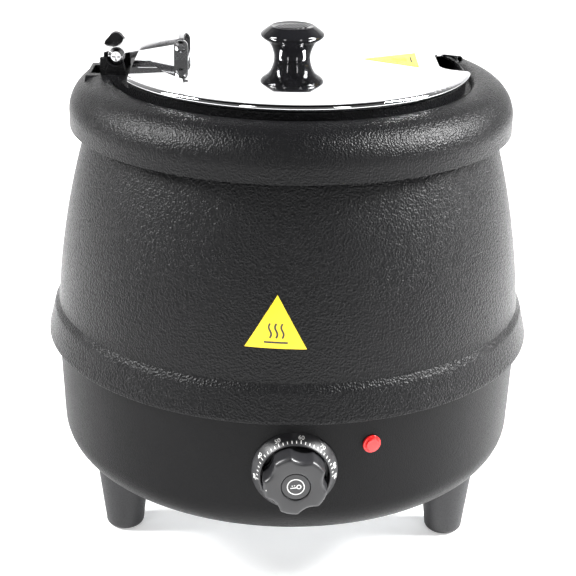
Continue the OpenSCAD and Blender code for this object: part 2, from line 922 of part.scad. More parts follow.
module cover_ring() {
    stem_x = pin_x - inner_ear_r * cos(ear_lean);
    stem_z = pin_z - inner_ear_r * sin(ear_lean);
    color([0.06, 0.06, 0.065])
        at_hinge()
            difference() {
                union() {
                    difference() {
                        rotate_extrude($fn = fine)
                            ring_2d();
                        translate([-pad_out, -52, ring_top_z])
                            cube([pad_out - deck_x - 2.5, 104, 20]);
                    }
                    // flat deck beyond the lid's straight edge, with a straight length of collar
                    intersection() {
                        union() {
                            translate([-pad_out, -70, groove_z - ring_t])
                                cube([pad_out - deck_x, 140, ring_top_z - groove_z + ring_t]);
                            translate([-deck_x - 2.5, -70, groove_z])
                                cube([2.5, 140, collar_top_z - groove_z]);
                        }
                        cylinder(h = 600, r = collar_r - 0.5, $fn = fine);
                    }
                    // pad with sloping sides that carries the far ear and the near cheek
                    intersection() {
                        translate([-pad_out, 0, 0])
                            rotate([90, 0, 90])
                                linear_extrude(pad_out - deck_x - 6)
                                    polygon([[-34, groove_z - ring_t - 2], [-34, groove_z - 3],
                                        [-18.5, ring_top_z], [18.5, ring_top_z], [34, groove_z - 3],
                                        [34, groove_z - ring_t - 2]]);
                        cylinder(h = 600, r = ring_r - 6, $fn = fine);
                    }
                    translate([0, -ear_in, 0])
                        rotate([90, 0, 0])
                            linear_extrude(ear_w)
                                cheek_2d();
                    translate([0, ear_out, 0])
                        rotate([90, 0, 0])
                            linear_extrude(ear_w)
                                ear_2d(10.4);
                }
                // pocket that takes the arm's tail when the lid is open
                translate([pin_x - tail_l - 0.6, -ear_in, groove_z - 0.5])
                    cube([tail_l + 6.1, 2 * ear_in, 40]);
            }
    // near ear, which stands in the pocket between the arm's two flanges
    color([0.06, 0.06, 0.065])
        at_hinge()
            translate([0, -inner_ear_y, 0])
                rotate([90, 0, 0])
                    linear_extrude(ear_w)
                        difference() {
                            union() {
                                translate([pin_x, pin_z])
                                    circle(r = inner_ear_r, $fn = mid);
                                polygon([[pin_x, pin_z], [stem_x, stem_z],
                                    [stem_x + (stem_z - groove_z + 1) * tan(ear_lean), groove_z - 1],
                                    [pin_x + 6.5, groove_z - 1], [pin_x + 6.5, ring_top_z - 1],
                                    [pin_x + inner_ear_r, ring_top_z - 1], [pin_x + inner_ear_r, pin_z]]);
                            }
                            translate([pin_x, pin_z])
                                circle(d = pin_d, $fn = mid);
                        }
}

module hinge_pin() {
    color([0.78, 0.78, 0.8])
        at_hinge()
            translate([pin_x, -arm_w / 2 - lift_gap, pin_z])
                rotate([90, 0, 0]) {
                    pan_head(10.6, 3.2);
                    translate([0, 0, -(arm_w / 2 + lift_gap + ear_out + 5)])
                        cylinder(h = arm_w / 2 + lift_gap + ear_out + 5, d = pin_d, $fn = mid);
                }
}

module hinge_nut() {
    color([0.78, 0.78, 0.8])
        at_hinge()
            translate([pin_x, ear_out, pin_z])
                rotate([-90, 0, 0])
                    nut(8, 4, pin_d);
}

// ---- lid and arm ----

// side outline of the arm between its top line and a line below it
module arm_side_2d(low) {
    polygon([[pin_x + 1, arm_low_z], [arm_end_x, arm_high_z], [arm_end_x, arm_high_z - low * 0.72],
        [pin_x + 4.5, arm_low_z - low - 0.4], [pin_x - 4, arm_low_z - low]]);
}

module lid_arm() {
    tail_top = pin_z + 0.8;
    color([0.8, 0.8, 0.82])
        at_hinge()
            difference() {
                union() {
                    // two side flanges with their lugs round the pin and round the bracket screws
                    for (y = [-arm_w / 2 + arm_t, arm_w / 2])
                        translate([0, y, 0])
                            rotate([90, 0, 0])
                                linear_extrude(arm_t) {
                                    arm_side_2d(4.5);
                                    translate([pin_x, pin_z])
                                        circle(r = 5.6, $fn = mid);
                                    translate([-bracket_r, lid_top_z + bracket_rise])
                                        circle(r = 3.9, $fn = mid);
                                    translate([-bracket_r - 3.9, lid_top_z + bracket_rise])
                                        square([5.9, arm_high_z - lid_top_z - bracket_rise - 1]);
                                }
                    // top plate, sloping tail and turned-up lip
                    translate([0, arm_w / 2, 0])
                        rotate([90, 0, 0])
                            linear_extrude(arm_w) {
                                polygon([[pin_x + 1, arm_low_z], [arm_end_x, arm_high_z],
                                    [arm_end_x, arm_high_z - arm_t], [pin_x + 1.2, arm_low_z - arm_t]]);
                                polygon([[pin_x - tail_l, tail_top], [pin_x + 1, arm_low_z],
                                    [pin_x + 1.2, arm_low_z - arm_t], [pin_x - tail_l + 0.5, tail_top - arm_t]]);
                                translate([arm_end_x - 3.6, arm_high_z - arm_t])
                                    square([3.6, lip_h + arm_t]);
                            }
                }
                translate([pin_x, 0, pin_z])
                    rotate([90, 0, 0])
                        cylinder(h = 80, d = pin_d + 2 * pin_fit, center = true, $fn = mid);
                translate([-bracket_r, 0, lid_top_z + bracket_rise])
                    rotate([90, 0, 0])
                        cylinder(h = 80, d = 4, center = true, $fn = small);
            }
}

module lid_bracket() {
    color([0.8, 0.8, 0.82])
        at_hinge()
            difference() {
                union() {
                    translate([-bracket_r - lug_r, -lug_out, lid_top_z])
                        cube([2 * lug_r, 2 * lug_out, arm_t]);
                    for (y = [-lug_in, lug_out])
                        translate([0, y, 0])
                            rotate([90, 0, 0])
                                linear_extrude(arm_t) {
                                    translate([-bracket_r, lid_top_z + bracket_rise])
                                        circle(r = lug_r, $fn = mid);
                                    translate([-bracket_r - lug_r, lid_top_z])
                                        square([2 * lug_r, bracket_rise]);
                                }
                }
                translate([-bracket_r, 0, lid_top_z + bracket_rise])
                    rotate([90, 0, 0])
                        cylinder(h = 80, d = 4, center = true, $fn = small);
            }
}

module bracket_screws() {
    color([0.78, 0.78, 0.8])
        at_hinge()
            for (s = [0, 1])
                mirror([0, s, 0])
                    translate([-bracket_r, -lug_out, lid_top_z + bracket_rise])
                        rotate([90, 0, 0]) {
                            pan_head(7.4, 2.2);
                            translate([0, 0, -5])
                                cylinder(h = 5, d = 4, $fn = small);
                        }
}

// half-section of the lid: flat centre, outer slope and rolled bead
module lid_2d() {
    flat_r = lid_r - 4 - lid_slope_w;
    polygon([[0, lid_under_z], [flat_r, lid_under_z], [lid_r - 3, lid_edge_z], [lid_r - 2, lid_edge_z],
        [lid_r - 2, lid_edge_z + lid_t], [lid_r - 3, lid_edge_z + lid_t], [flat_r, lid_top_z], [0, lid_top_z]]);
    translate([lid_r - lid_bead, bead_z])
        difference() {
            circle(r = lid_bead, $fn = small);
            circle(r = lid_bead - 0.9, $fn = small);
        }
}

module lid() {
    notch_in = lid_r - notch_l;
    corner = 8;
    color([0.85, 0.86, 0.88])
        at_hinge()
            difference() {
                union() {
                    intersection() {
                        rotate_extrude($fn = fine)
                            lid_2d();
                        translate([-lid_chord, -200, 0])
                            cube([400, 400, 500]);
                    }
                    // folded edge along the straight side
                    translate([-lid_chord, -54, bead_z - lid_bead])
                        cube([lid_t, 108, lid_edge_z - bead_z + lid_bead + lid_t]);
                }
                rotate(notch_turn)
                    translate([notch_in, -notch_w / 2, 0]) {
                        translate([corner, 0, 0])
                            cube([60, notch_w, 500]);
                        translate([0, corner, 0])
                            cube([60, notch_w - 2 * corner, 500]);
                        for (y = [corner, notch_w - corner])
                            translate([corner, y, 0])
                                cylinder(h = 500, r = corner, $fn = mid);
                    }
                translate([0, 0, lid_under_z - 5])
                    cylinder(h = 20, d = 5.4, $fn = small);
            }
}

module lid_knob() {
    neck = lid_knob_neck / 2;
    r = lid_knob_d / 2;
    h = lid_knob_h;
    color([0.03, 0.03, 0.035])
        translate([0, 0, lid_top_z])
            difference() {
                rotate_extrude($fn = fine)
                    polygon([[0, 0], [neck - 0.4, 0], [neck - 0.2, h * 0.09], [neck + 0.3, h * 0.2],
                        [neck + 1.2, h * 0.33], [neck + 2.7, h * 0.45], [neck + 4.2, h * 0.53],
                        [r - 1.9, h * 0.6], [r - 0.3, h * 0.69], [r, h * 0.73], [r - 0.7, h * 0.78],
                        [r - 6.9, h * 0.98], [r - 7.4, h], [0, h]]);
                translate([0, 0, -1])
                    cylinder(h = 13, d = 5, $fn = small);
            }
}

module lid_knob_screw() {
    color([0.78, 0.78, 0.8]) {
        translate([0, 0, lid_under_z])
            cylinder(h = 12, d = 5, $fn = small);
        translate([0, 0, lid_under_z])
            rotate([180, 0, 0])
                pan_head(11, 2.6);
    }
}

module lid_label() {
    color([0.98, 0.8, 0.02])
        rotate(-hinge_turn - 0.8)
            translate([lid_label_r, 0, lid_top_z])
                linear_extrude(0.3)
                    rotate(90)
                        triangle_2d(lid_label_side);
}

upper_shell();
lower_shell();
base_plate();
base_screws();
feet();
foot_screws();
water_tank();
tank_studs();
base_nuts();
heating_element();
heater_clamp();
clamp_nuts();
overheat_cutout();
thermostat_body();
thermostat_shaft();
thermostat_screws();
thermostat_bulb();
capillary_tube();
dial_plate();
dial_marks();
temperature_knob();
knob_cap();
knob_pointer();
pilot_lamp();
pilot_lamp_nut();
cable_gland();
gland_nut();
terminal_block();
earth_stud();
internal_leads();
body_label();
soup_pot();
cover_ring();
hinge_pin();
hinge_nut();
lid_arm();
lid_bracket();
bracket_screws();
lid();
lid_knob();
lid_knob_screw();
lid_label();
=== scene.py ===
# Looks of the ten-litre soup kettle: a black wet-well body, a cover ring and a hinged steel lid.
# Lengths in the sections are in millimetres and are turned into metres by MM.
import bpy
import bmesh
from math import atan2, cos, pi, radians, sin, sqrt, tan
from mathutils import Matrix, Vector


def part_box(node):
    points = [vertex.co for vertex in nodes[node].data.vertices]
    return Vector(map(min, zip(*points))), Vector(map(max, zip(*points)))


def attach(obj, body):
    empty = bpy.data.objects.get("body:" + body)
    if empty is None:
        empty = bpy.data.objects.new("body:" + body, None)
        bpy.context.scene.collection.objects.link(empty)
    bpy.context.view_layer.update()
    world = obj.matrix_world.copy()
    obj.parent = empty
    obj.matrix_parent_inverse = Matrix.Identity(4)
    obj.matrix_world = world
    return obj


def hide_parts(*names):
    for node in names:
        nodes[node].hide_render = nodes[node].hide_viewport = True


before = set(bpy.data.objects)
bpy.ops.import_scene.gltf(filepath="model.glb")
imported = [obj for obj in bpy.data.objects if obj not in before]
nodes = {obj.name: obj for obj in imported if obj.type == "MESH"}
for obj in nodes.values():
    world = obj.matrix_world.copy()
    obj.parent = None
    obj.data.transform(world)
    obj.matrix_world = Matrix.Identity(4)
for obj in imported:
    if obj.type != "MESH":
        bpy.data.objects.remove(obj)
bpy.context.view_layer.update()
MM = 0.001

# ---- Studio ----
# The kettle stands on a pale matt floor that sweeps up behind it. Two tall soft boxes stand to its
# left and right, the room is white behind it and darker in front of it.
camera_data = bpy.data.cameras.new("camera")
camera_data.lens = 87.0
camera_data.sensor_width = 36.0
camera = bpy.data.objects.new("camera", camera_data)
bpy.context.scene.collection.objects.link(camera)
camera.matrix_world = (
    Matrix.Translation((-0.0356, -0.9267, 0.5322))
    @ Matrix.Rotation(radians(-2.2), 4, "Z")
    @ Matrix.Rotation(radians(67.91), 4, "X")
    @ Matrix.Rotation(radians(1.04), 4, "Z")
)
bpy.context.scene.camera = camera
bpy.context.scene.view_settings.view_transform = "Standard"


def sweep(name, half_width, front, back, curve_r, height):
    """Floor that turns up into a wall behind the object."""
    line = [(front, 0.0), (back, 0.0)]
    turns = [i * pi / 24 for i in range(1, 13)]
    line += [(back + curve_r * sin(a), curve_r - curve_r * cos(a)) for a in turns]
    line.append((back + curve_r, height))
    mesh = bpy.data.meshes.new(name)
    verts = [(x, y, z) for y, z in line for x in (-half_width, half_width)]
    faces = [(2 * i, 2 * i + 1, 2 * i + 3, 2 * i + 2) for i in range(len(line) - 1)]
    mesh.from_pydata(verts, [], faces)
    mesh.polygons.foreach_set("use_smooth", [True] * len(mesh.polygons))
    made = bpy.data.objects.new(name, mesh)
    bpy.context.scene.collection.objects.link(made)
    return made


floor = sweep("floor", half_width=3.0, front=-2.6, back=1.6, curve_r=1.0, height=1.9)
floor_paint = bpy.data.materials.new("floor_paint")
floor_paint.use_nodes = True
floor_shader = floor_paint.node_tree.nodes["Principled BSDF"]
floor_shader.inputs["Base Color"].default_value = (0.93, 0.93, 0.93, 1)
floor_shader.inputs["Roughness"].default_value = 0.7
floor_shader.inputs["Specular IOR Level"].default_value = 0.2
floor_shader.inputs["Emission Color"].default_value = (1, 1, 1, 1)
floor_shader.inputs["Emission Strength"].default_value = 0.3
floor.data.materials.append(floor_paint)


def soft_box(name, place, target, width, height, power):
    """Rectangular soft light at a place, facing a target."""
    data = bpy.data.lights.new(name, "AREA")
    data.shape = "RECTANGLE"
    data.size = width
    data.size_y = height
    data.energy = power
    lamp = bpy.data.objects.new(name, data)
    bpy.context.scene.collection.objects.link(lamp)
    lamp.location = place
    lamp.rotation_euler = (Vector(target) - Vector(place)).to_track_quat("-Z", "Y").to_euler()
    return lamp


soft_box("soft_box_left", (-1.35, -0.1, 1.25), (0, 0, 0.3), 0.3, 0.9, 62)
soft_box("soft_box_right", (1.35, -0.1, 1.25), (0, 0, 0.3), 0.4, 0.9, 108)
soft_box("soft_box_front_left", (-0.85, -1.5, 0.9), (0, 0, 0.3), 0.22, 0.9, 7)
soft_box("soft_box_front_right", (0.85, -1.5, 0.9), (0, 0, 0.3), 0.22, 0.9, 7)

world = bpy.data.worlds.new("studio_room")
bpy.context.scene.world = world
world.use_nodes = True
room = world.node_tree
room_coords = room.nodes.new("ShaderNodeTexCoord")
room_split = room.nodes.new("ShaderNodeSeparateXYZ")
room_fade = room.nodes.new("ShaderNodeMapRange")
room_fade.inputs["From Min"].default_value = 0.6
room_fade.inputs["From Max"].default_value = 0.85
room_fade.inputs["To Min"].default_value = 0.4
room_fade.inputs["To Max"].default_value = 0.01
room_front = room.nodes.new("ShaderNodeMapRange")
room_front.inputs["From Min"].default_value = -0.1
room_front.inputs["From Max"].default_value = 0.6
room_front.inputs["To Min"].default_value = 0.3
room_front.inputs["To Max"].default_value = 1.0
room_product = room.nodes.new("ShaderNodeMath")
room_product.operation = "MULTIPLY"
room.links.new(room_coords.outputs["Generated"], room_split.inputs[0])
room.links.new(room_split.outputs["Z"], room_fade.inputs["Value"])
room.links.new(room_split.outputs["Y"], room_front.inputs["Value"])
room.links.new(room_fade.outputs["Result"], room_product.inputs[0])
room.links.new(room_front.outputs["Result"], room_product.inputs[1])
room.links.new(room_product.outputs[0], room.nodes["Background"].inputs["Color"])
room.nodes["Background"].inputs["Strength"].default_value = 1.0

# ---- Upper and lower shells ----
# Two steel pressings: a bowed upper shell whose flared edge laps a deep-drawn lower shell. The upper
# one has a coarse leather-like powder coat, the lower one a finer and duller coat of the same black.


def node_group(name, inputs, outputs):
    """Empty shader node group with named float, colour or vector sockets."""
    group = bpy.data.node_groups.new(name, "ShaderNodeTree")
    kinds = {"f": "NodeSocketFloat", "c": "NodeSocketColor", "v": "NodeSocketVector"}
    for label, kind, value in inputs:
        socket = group.interface.new_socket(name=label, in_out="INPUT", socket_type=kinds[kind])
        socket.default_value = value
    for label, kind in outputs:
        group.interface.new_socket(name=label, in_out="OUTPUT", socket_type=kinds[kind])
    group.nodes.new("NodeGroupInput").name = "in"
    group.nodes.new("NodeGroupOutput").name = "out"
    return group


def math_node(tree, operation, first, second):
    """Math node whose two inputs are sockets or numbers."""
    made = tree.nodes.new("ShaderNodeMath")
    made.operation = operation
    for slot_in, value in zip(made.inputs, (first, second)):
        if isinstance(value, (int, float)):
            slot_in.default_value = value
        else:
            tree.links.new(value, slot_in)
    return made.outputs[0]


def noise(tree, coords, scale, detail, rough=0.5):
    """Noise texture on given coordinates; scale is a number or a socket."""
    made = tree.nodes.new("ShaderNodeTexNoise")
    tree.links.new(coords, made.inputs["Vector"])
    if isinstance(scale, (int, float)):
        made.inputs["Scale"].default_value = scale
    else:
        tree.links.new(scale, made.inputs["Scale"])
    made.inputs["Detail"].default_value = detail
    made.inputs["Roughness"].default_value = rough
    return made.outputs["Fac"]


def remap(tree, value, low_in, high_in, low_out, high_out):
    """Map Range node; each limit is a number or a socket."""
    made = tree.nodes.new("ShaderNodeMapRange")
    tree.links.new(value, made.inputs["Value"])
    limits = {"From Min": low_in, "From Max": high_in, "To Min": low_out, "To Max": high_out}
    for label, limit in limits.items():
        if isinstance(limit, (int, float)):
            made.inputs[label].default_value = limit
        else:
            tree.links.new(limit, made.inputs[label])
    return made.outputs["Result"]


def mix_colour(tree, factor, first, second):
    """Mixes two colour sockets by a value socket."""
    made = tree.nodes.new("ShaderNodeMix")
    made.data_type = "RGBA"
    tree.links.new(factor, made.inputs[0])
    tree.links.new(first, made.inputs[6])
    tree.links.new(second, made.inputs[7])
    return made.outputs[2]


coat_grain = node_group(
    "powder_coat_grain",
    [("Grain per metre", "f", 600.0), ("Stretch", "f", 0.8), ("Pit Colour", "c", (0.01, 0.01, 0.01, 1)),
     ("Peak Colour", "c", (0.03, 0.03, 0.03, 1)), ("Pit Roughness", "f", 0.55),
     ("Peak Roughness", "f", 0.35)],
    [("Colour", "c"), ("Roughness", "f"), ("Height", "f")],
)
tree = coat_grain
group_in = tree.nodes["in"].outputs
coords = tree.nodes.new("ShaderNodeTexCoord").outputs["Object"]
warp = tree.nodes.new("ShaderNodeTexNoise")
tree.links.new(coords, warp.inputs["Vector"])
tree.links.new(math_node(tree, "MULTIPLY", group_in["Grain per metre"], 0.5), warp.inputs["Scale"])
warp.inputs["Detail"].default_value = 2.0
warp_step = tree.nodes.new("ShaderNodeVectorMath")
warp_step.operation = "SCALE"
tree.links.new(warp.outputs["Color"], warp_step.inputs[0])
warp_reach = math_node(tree, "DIVIDE", group_in["Stretch"], group_in["Grain per metre"])
tree.links.new(warp_reach, warp_step.inputs["Scale"])
moved = tree.nodes.new("ShaderNodeVectorMath")
moved.operation = "ADD"
tree.links.new(coords, moved.inputs[0])
tree.links.new(warp_step.outputs[0], moved.inputs[1])
pebble = tree.nodes.new("ShaderNodeTexVoronoi")
pebble.feature = "SMOOTH_F1"
pebble.inputs["Smoothness"].default_value = 0.45
tree.links.new(moved.outputs[0], pebble.inputs["Vector"])
tree.links.new(group_in["Grain per metre"], pebble.inputs["Scale"])
pebble_height = remap(tree, pebble.outputs["Distance"], 0.15, 0.75, 1.0, 0.0)
fine_height = noise(tree, coords, math_node(tree, "MULTIPLY", group_in["Grain per metre"], 1.9), 2.0)
grain_height = math_node(tree, "ADD", math_node(tree, "MULTIPLY", pebble_height, 0.75),
                         math_node(tree, "MULTIPLY", fine_height, 0.5))
patches = noise(tree, coords, 17.0, 3.0)
tone = math_node(tree, "MULTIPLY", grain_height, remap(tree, patches, 0.3, 0.7, 0.8, 1.1))
tree.links.new(mix_colour(tree, tone, group_in["Pit Colour"], group_in["Peak Colour"]),
               tree.nodes["out"].inputs["Colour"])
tree.links.new(
    remap(tree, tone, 0.2, 0.95, group_in["Pit Roughness"], group_in["Peak Roughness"]),
    tree.nodes["out"].inputs["Roughness"],
)
tree.links.new(grain_height, tree.nodes["out"].inputs["Height"])


def new_material(name):
    """New material and its Principled shader."""
    made = bpy.data.materials.new(name)
    made.use_nodes = True
    return made, made.node_tree.nodes["Principled BSDF"]


def place_group(material, group, **values):
    """Puts a node group in a material with its own values; underscores stand for spaces."""
    placed = material.node_tree.nodes.new("ShaderNodeGroup")
    placed.node_tree = group
    for label, value in values.items():
        placed.inputs[label.replace("_", " ")].default_value = value
    return placed


def feed(material, source, shader, bump_height=None, bump_step=0.0002, **targets):
    """Links a group's outputs to the shader, and its height through a bump."""
    links = material.node_tree.links
    for output, target in targets.items():
        links.new(source.outputs[output], shader.inputs[target])
    if bump_height:
        bump = material.node_tree.nodes.new("ShaderNodeBump")
        bump.inputs["Strength"].default_value = 1.0
        bump.inputs["Distance"].default_value = bump_step
        links.new(source.outputs[bump_height], bump.inputs["Height"])
        links.new(bump.outputs["Normal"], shader.inputs["Normal"])


def dress(node, material):
    """Gives a CAD node its finish."""
    nodes[node].data.materials.clear()
    nodes[node].data.materials.append(material)


def coat(name, grain, step, pit, peak, pit_rough, peak_rough, shine=0.17):
    """Black textured powder coat: grain in lumps per metre, step in millimetres."""
    material, shader = new_material(name)
    grains = place_group(material, coat_grain, Grain_per_metre=grain, Pit_Colour=(*pit, 1),
                         Peak_Colour=(*peak, 1), Pit_Roughness=pit_rough, Peak_Roughness=peak_rough)
    feed(material, grains, shader, "Height", step * MM, Colour="Base Color", Roughness="Roughness")
    shader.inputs["Specular IOR Level"].default_value = shine
    return material


coarse_coat = coat("coarse_black_coat", 700, 0.42, (0.002, 0.002, 0.0023), (0.005, 0.005, 0.0056),
                   0.42, 0.25)
fine_coat = coat("fine_black_coat", 1100, 0.10, (0.002, 0.002, 0.0022), (0.004, 0.004, 0.0045),
                 0.46, 0.34, shine=0.1)
dress("lower_shell", fine_coat)


def rounded(corners, steps=5):
    """Closed outline with its corners filleted: each corner is (r, z, fillet)."""
    line = []
    for i, (r, z, fillet) in enumerate(corners):
        here = Vector((r, z))
        back = Vector(corners[i - 1][:2]) - here
        on = Vector(corners[(i + 1) % len(corners)][:2]) - here
        half = back.angle(on) / 2
        if fillet == 0 or half > 1.56:
            line.append(here)
            continue
        run = min(fillet / tan(half), back.length * 0.45, on.length * 0.45)
        centre = here + (back.normalized() + on.normalized()).normalized() * run / cos(half)
        start, stop = here + back.normalized() * run - centre, here + on.normalized() * run - centre
        radius = start.length
        line += [centre + start.lerp(stop, k / steps).normalized() * radius for k in range(steps + 1)]
    return line


def link_mesh(name, mesh, material, smooth_angle=35):
    """Object for a finished mesh, smooth except at edges sharper than the angle."""
    mesh.validate()
    mesh.polygons.foreach_set("use_smooth", [True] * len(mesh.polygons))
    mesh.set_sharp_from_angle(angle=radians(smooth_angle))
    made = bpy.data.objects.new(name, mesh)
    bpy.context.scene.collection.objects.link(made)
    mesh.materials.append(material)
    return made


def link_shape(name, shape, material, smooth_angle=35, place=None):
    """Object for a built shape, whose faces are turned outwards and which may be put in a place."""
    bmesh.ops.recalc_face_normals(shape, faces=shape.faces)
    mesh = bpy.data.meshes.new(name)
    shape.to_mesh(mesh)
    shape.free()
    if place:
        mesh.transform(place)
    return link_mesh(name, mesh, material, smooth_angle)


def turned(name, outline, material, steps=256, place=None, smooth_angle=35):
    """Piece turned about its own Z axis from a closed outline of (r, z) in millimetres."""
    shape = bmesh.new()
    rings = []
    for r, z in outline:
        if r < 1e-6:
            rings.append([shape.verts.new((0, 0, z * MM))])
        else:
            turns = [2 * pi * k / steps for k in range(steps)]
            rings.append([shape.verts.new((r * cos(a) * MM, r * sin(a) * MM, z * MM)) for a in turns])
    for i, ring in enumerate(rings):
        after = rings[(i + 1) % len(rings)]
        for k in range(steps):
            quad = [ring[k % len(ring)], after[k % len(after)],
                    after[(k + 1) % len(after)], ring[(k + 1) % len(ring)]]
            quad = [v for j, v in enumerate(quad) if v not in quad[:j]]
            if len(quad) > 2:
                shape.faces.new(quad)
    return link_shape(name, shape, material, smooth_angle, place)


def bow_centre(low, high, radius):
    """Centre of the side's bow, on the axis side of the line from its foot to its top."""
    across = high - low
    half = across.length / 2
    inwards = Vector((-across.y, across.x)).normalized()
    return (low + high) / 2 + inwards * sqrt(radius * radius - half * half)


def bow(low, high, radius, count=30):
    """Points along the bowed side, from its foot to its top."""
    centre = bow_centre(low, high, radius)
    start, stop = low - centre, high - centre
    first, last = atan2(start.y, start.x), atan2(stop.y, stop.x)
    turns = [first + (last - first) * k / count for k in range(count + 1)]
    return [centre + Vector((cos(a), sin(a))) * radius for a in turns]


sheet = 1.2
waist, neck = Vector((162.1, 158.0)), Vector((136.0, 288.0))
side_bow_r = 536.0
outer_side = bow(waist, neck, side_bow_r)
inner_side = bow(waist - Vector((sheet, 0)), neck - Vector((sheet, 0.8)), side_bow_r - sheet)
band = [(162.1, 159.6, 0), (162.1, 158.0, 3.0), (165.3, 153.5, 6.0), (169.72, 136.0, 1.4),
        (169.9, 134.2, 0.7), (168.9, 133.55, 0.4), (168.2, 134.4, 0.3), (168.2, 136.3, 0),
        (164.0, 153.0, 4.0), (160.9, 158.0, 3.0), (160.8, 159.6, 0)]
shell_outline = [Vector((129.5, 286.8)), Vector((129.5, 288.0)), Vector((135.2, 288.0))]
shell_outline += [p for p in reversed(outer_side) if p.y > 160.0]
shell_outline += rounded(band)[1:-1]
shell_outline += [p for p in inner_side if 160.0 < p.y < 286.6]
upper_shell = turned("upper_shell_pressing", shell_outline, coarse_coat, steps=320)
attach(upper_shell, "kettle")
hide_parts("upper_shell")

# ---- Feet ----
# Three tapered moulded feet with rounded soles, scribed to the shell's curve and held by one screw
# each, up through a hollow in the sole.
foot_material, foot_shader = new_material("foot_moulding")
foot_grain = place_group(foot_material, coat_grain, Grain_per_metre=1500,
                         Pit_Colour=(0.007, 0.007, 0.008, 1), Peak_Colour=(0.016, 0.016, 0.018, 1),
                         Pit_Roughness=0.6, Peak_Roughness=0.42)
feed(foot_material, foot_grain, foot_shader, "Height", 0.04 * MM, Colour="Base Color",
     Roughness="Roughness")
dress("feet", foot_material)

# ---- Sheet and bright metal ----
# The tank and pot are spun from stainless sheet, with fine turning marks. Screws, nuts, the base plate
# and the clamp are zinc-plated steel, and the heater, cut-out and thermostat are bought-in pieces.
brushed = node_group(
    "drawn_marks",
    [("Marks per metre", "f", 900.0), ("Along", "v", (1.0, 1.0, 1.0)),
     ("Dark Colour", "c", (0.4, 0.4, 0.4, 1)), ("Light Colour", "c", (0.7, 0.7, 0.7, 1)),
     ("Low Roughness", "f", 0.2), ("High Roughness", "f", 0.4)],
    [("Colour", "c"), ("Roughness", "f"), ("Height", "f")],
)
tree = brushed
group_in = tree.nodes["in"].outputs
coords = tree.nodes.new("ShaderNodeTexCoord").outputs["Object"]
squeezed = tree.nodes.new("ShaderNodeVectorMath")
squeezed.operation = "MULTIPLY"
tree.links.new(coords, squeezed.inputs[0])
tree.links.new(group_in["Along"], squeezed.inputs[1])
marks = noise(tree, squeezed.outputs[0], group_in["Marks per metre"], 3.0, 0.6)
clouds = noise(tree, coords, 23.0, 3.0)
blend = math_node(tree, "ADD", math_node(tree, "MULTIPLY", marks, 0.6),
                  math_node(tree, "MULTIPLY", clouds, 0.4))
tree.links.new(mix_colour(tree, blend, group_in["Dark Colour"], group_in["Light Colour"]),
               tree.nodes["out"].inputs["Colour"])
tree.links.new(remap(tree, blend, 0.3, 0.7, group_in["Low Roughness"], group_in["High Roughness"]),
               tree.nodes["out"].inputs["Roughness"])
tree.links.new(marks, tree.nodes["out"].inputs["Height"])


def metal(name, dark, light, low, high, marks_per_m=900.0, along=(1, 1, 1), step=0.01):
    """Metal with drawn, spun or plated marks; step in millimetres."""
    material, shader = new_material(name)
    made = place_group(material, brushed, Marks_per_metre=marks_per_m, Along=along,
                       Dark_Colour=(*dark, 1), Light_Colour=(*light, 1), Low_Roughness=low,
                       High_Roughness=high)
    feed(material, made, shader, "Height", step * MM, Colour="Base Color", Roughness="Roughness")
    shader.inputs["Metallic"].default_value = 1.0
    return material


spun_steel = metal("spun_steel", (0.50, 0.50, 0.50), (0.66, 0.66, 0.65), 0.24, 0.36, 500,
                   (0.08, 0.08, 3.0), 0.02)
zinc_plate = metal("zinc_plate", (0.48, 0.50, 0.52), (0.66, 0.67, 0.68), 0.28, 0.45, 260)
heater_sheath = metal("heater_sheath", (0.10, 0.09, 0.08), (0.22, 0.20, 0.18), 0.4, 0.6, 300)
copper_tube = metal("copper_tube", (0.48, 0.22, 0.12), (0.68, 0.36, 0.22), 0.25, 0.45, 300)
turned_brass = metal("turned_brass", (0.52, 0.38, 0.14), (0.70, 0.54, 0.26), 0.25, 0.4, 500)
for name in ("water_tank", "soup_pot"):
    dress(name, spun_steel)
for name in ("base_plate", "base_screws", "foot_screws", "tank_studs", "base_nuts", "heater_clamp",
             "clamp_nuts", "thermostat_shaft", "thermostat_screws"):
    dress(name, zinc_plate)
dress("heating_element", heater_sheath)
for name in ("thermostat_bulb", "capillary_tube"):
    dress(name, copper_tube)
dress("earth_stud", turned_brass)

# ---- Mouldings ----
# The gland, its nut and the cut-out are black nylon, and the terminal block, lamp nut and thermostat
# body are pale moulded plastic. The leads run in woven glass sleeves.
mould_skin = node_group(
    "moulded_skin",
    [("Spots per metre", "f", 1500.0), ("Dark Colour", "c", (0.02, 0.02, 0.02, 1)),
     ("Light Colour", "c", (0.03, 0.03, 0.03, 1)), ("Low Roughness", "f", 0.3),
     ("High Roughness", "f", 0.5)],
    [("Colour", "c"), ("Roughness", "f"), ("Height", "f")],
)
tree = mould_skin
group_in = tree.nodes["in"].outputs
coords = tree.nodes.new("ShaderNodeTexCoord").outputs["Object"]
spots = noise(tree, coords, group_in["Spots per metre"], 2.0)
smears = noise(tree, coords, 55.0, 4.0, 0.6)
tree.links.new(mix_colour(tree, smears, group_in["Dark Colour"], group_in["Light Colour"]),
               tree.nodes["out"].inputs["Colour"])
tree.links.new(remap(tree, smears, 0.3, 0.7, group_in["Low Roughness"], group_in["High Roughness"]),
               tree.nodes["out"].inputs["Roughness"])
tree.links.new(spots, tree.nodes["out"].inputs["Height"])


def moulding(name, dark, light, low, high, spots_per_m=1500.0, step=0.02):
    """Moulded or printed plastic; step in millimetres."""
    material, shader = new_material(name)
    made = place_group(material, mould_skin, Spots_per_metre=spots_per_m, Dark_Colour=(*dark, 1),
                       Light_Colour=(*light, 1), Low_Roughness=low, High_Roughness=high)
    feed(material, made, shader, "Height", step * MM, Colour="Base Color", Roughness="Roughness")
    return material


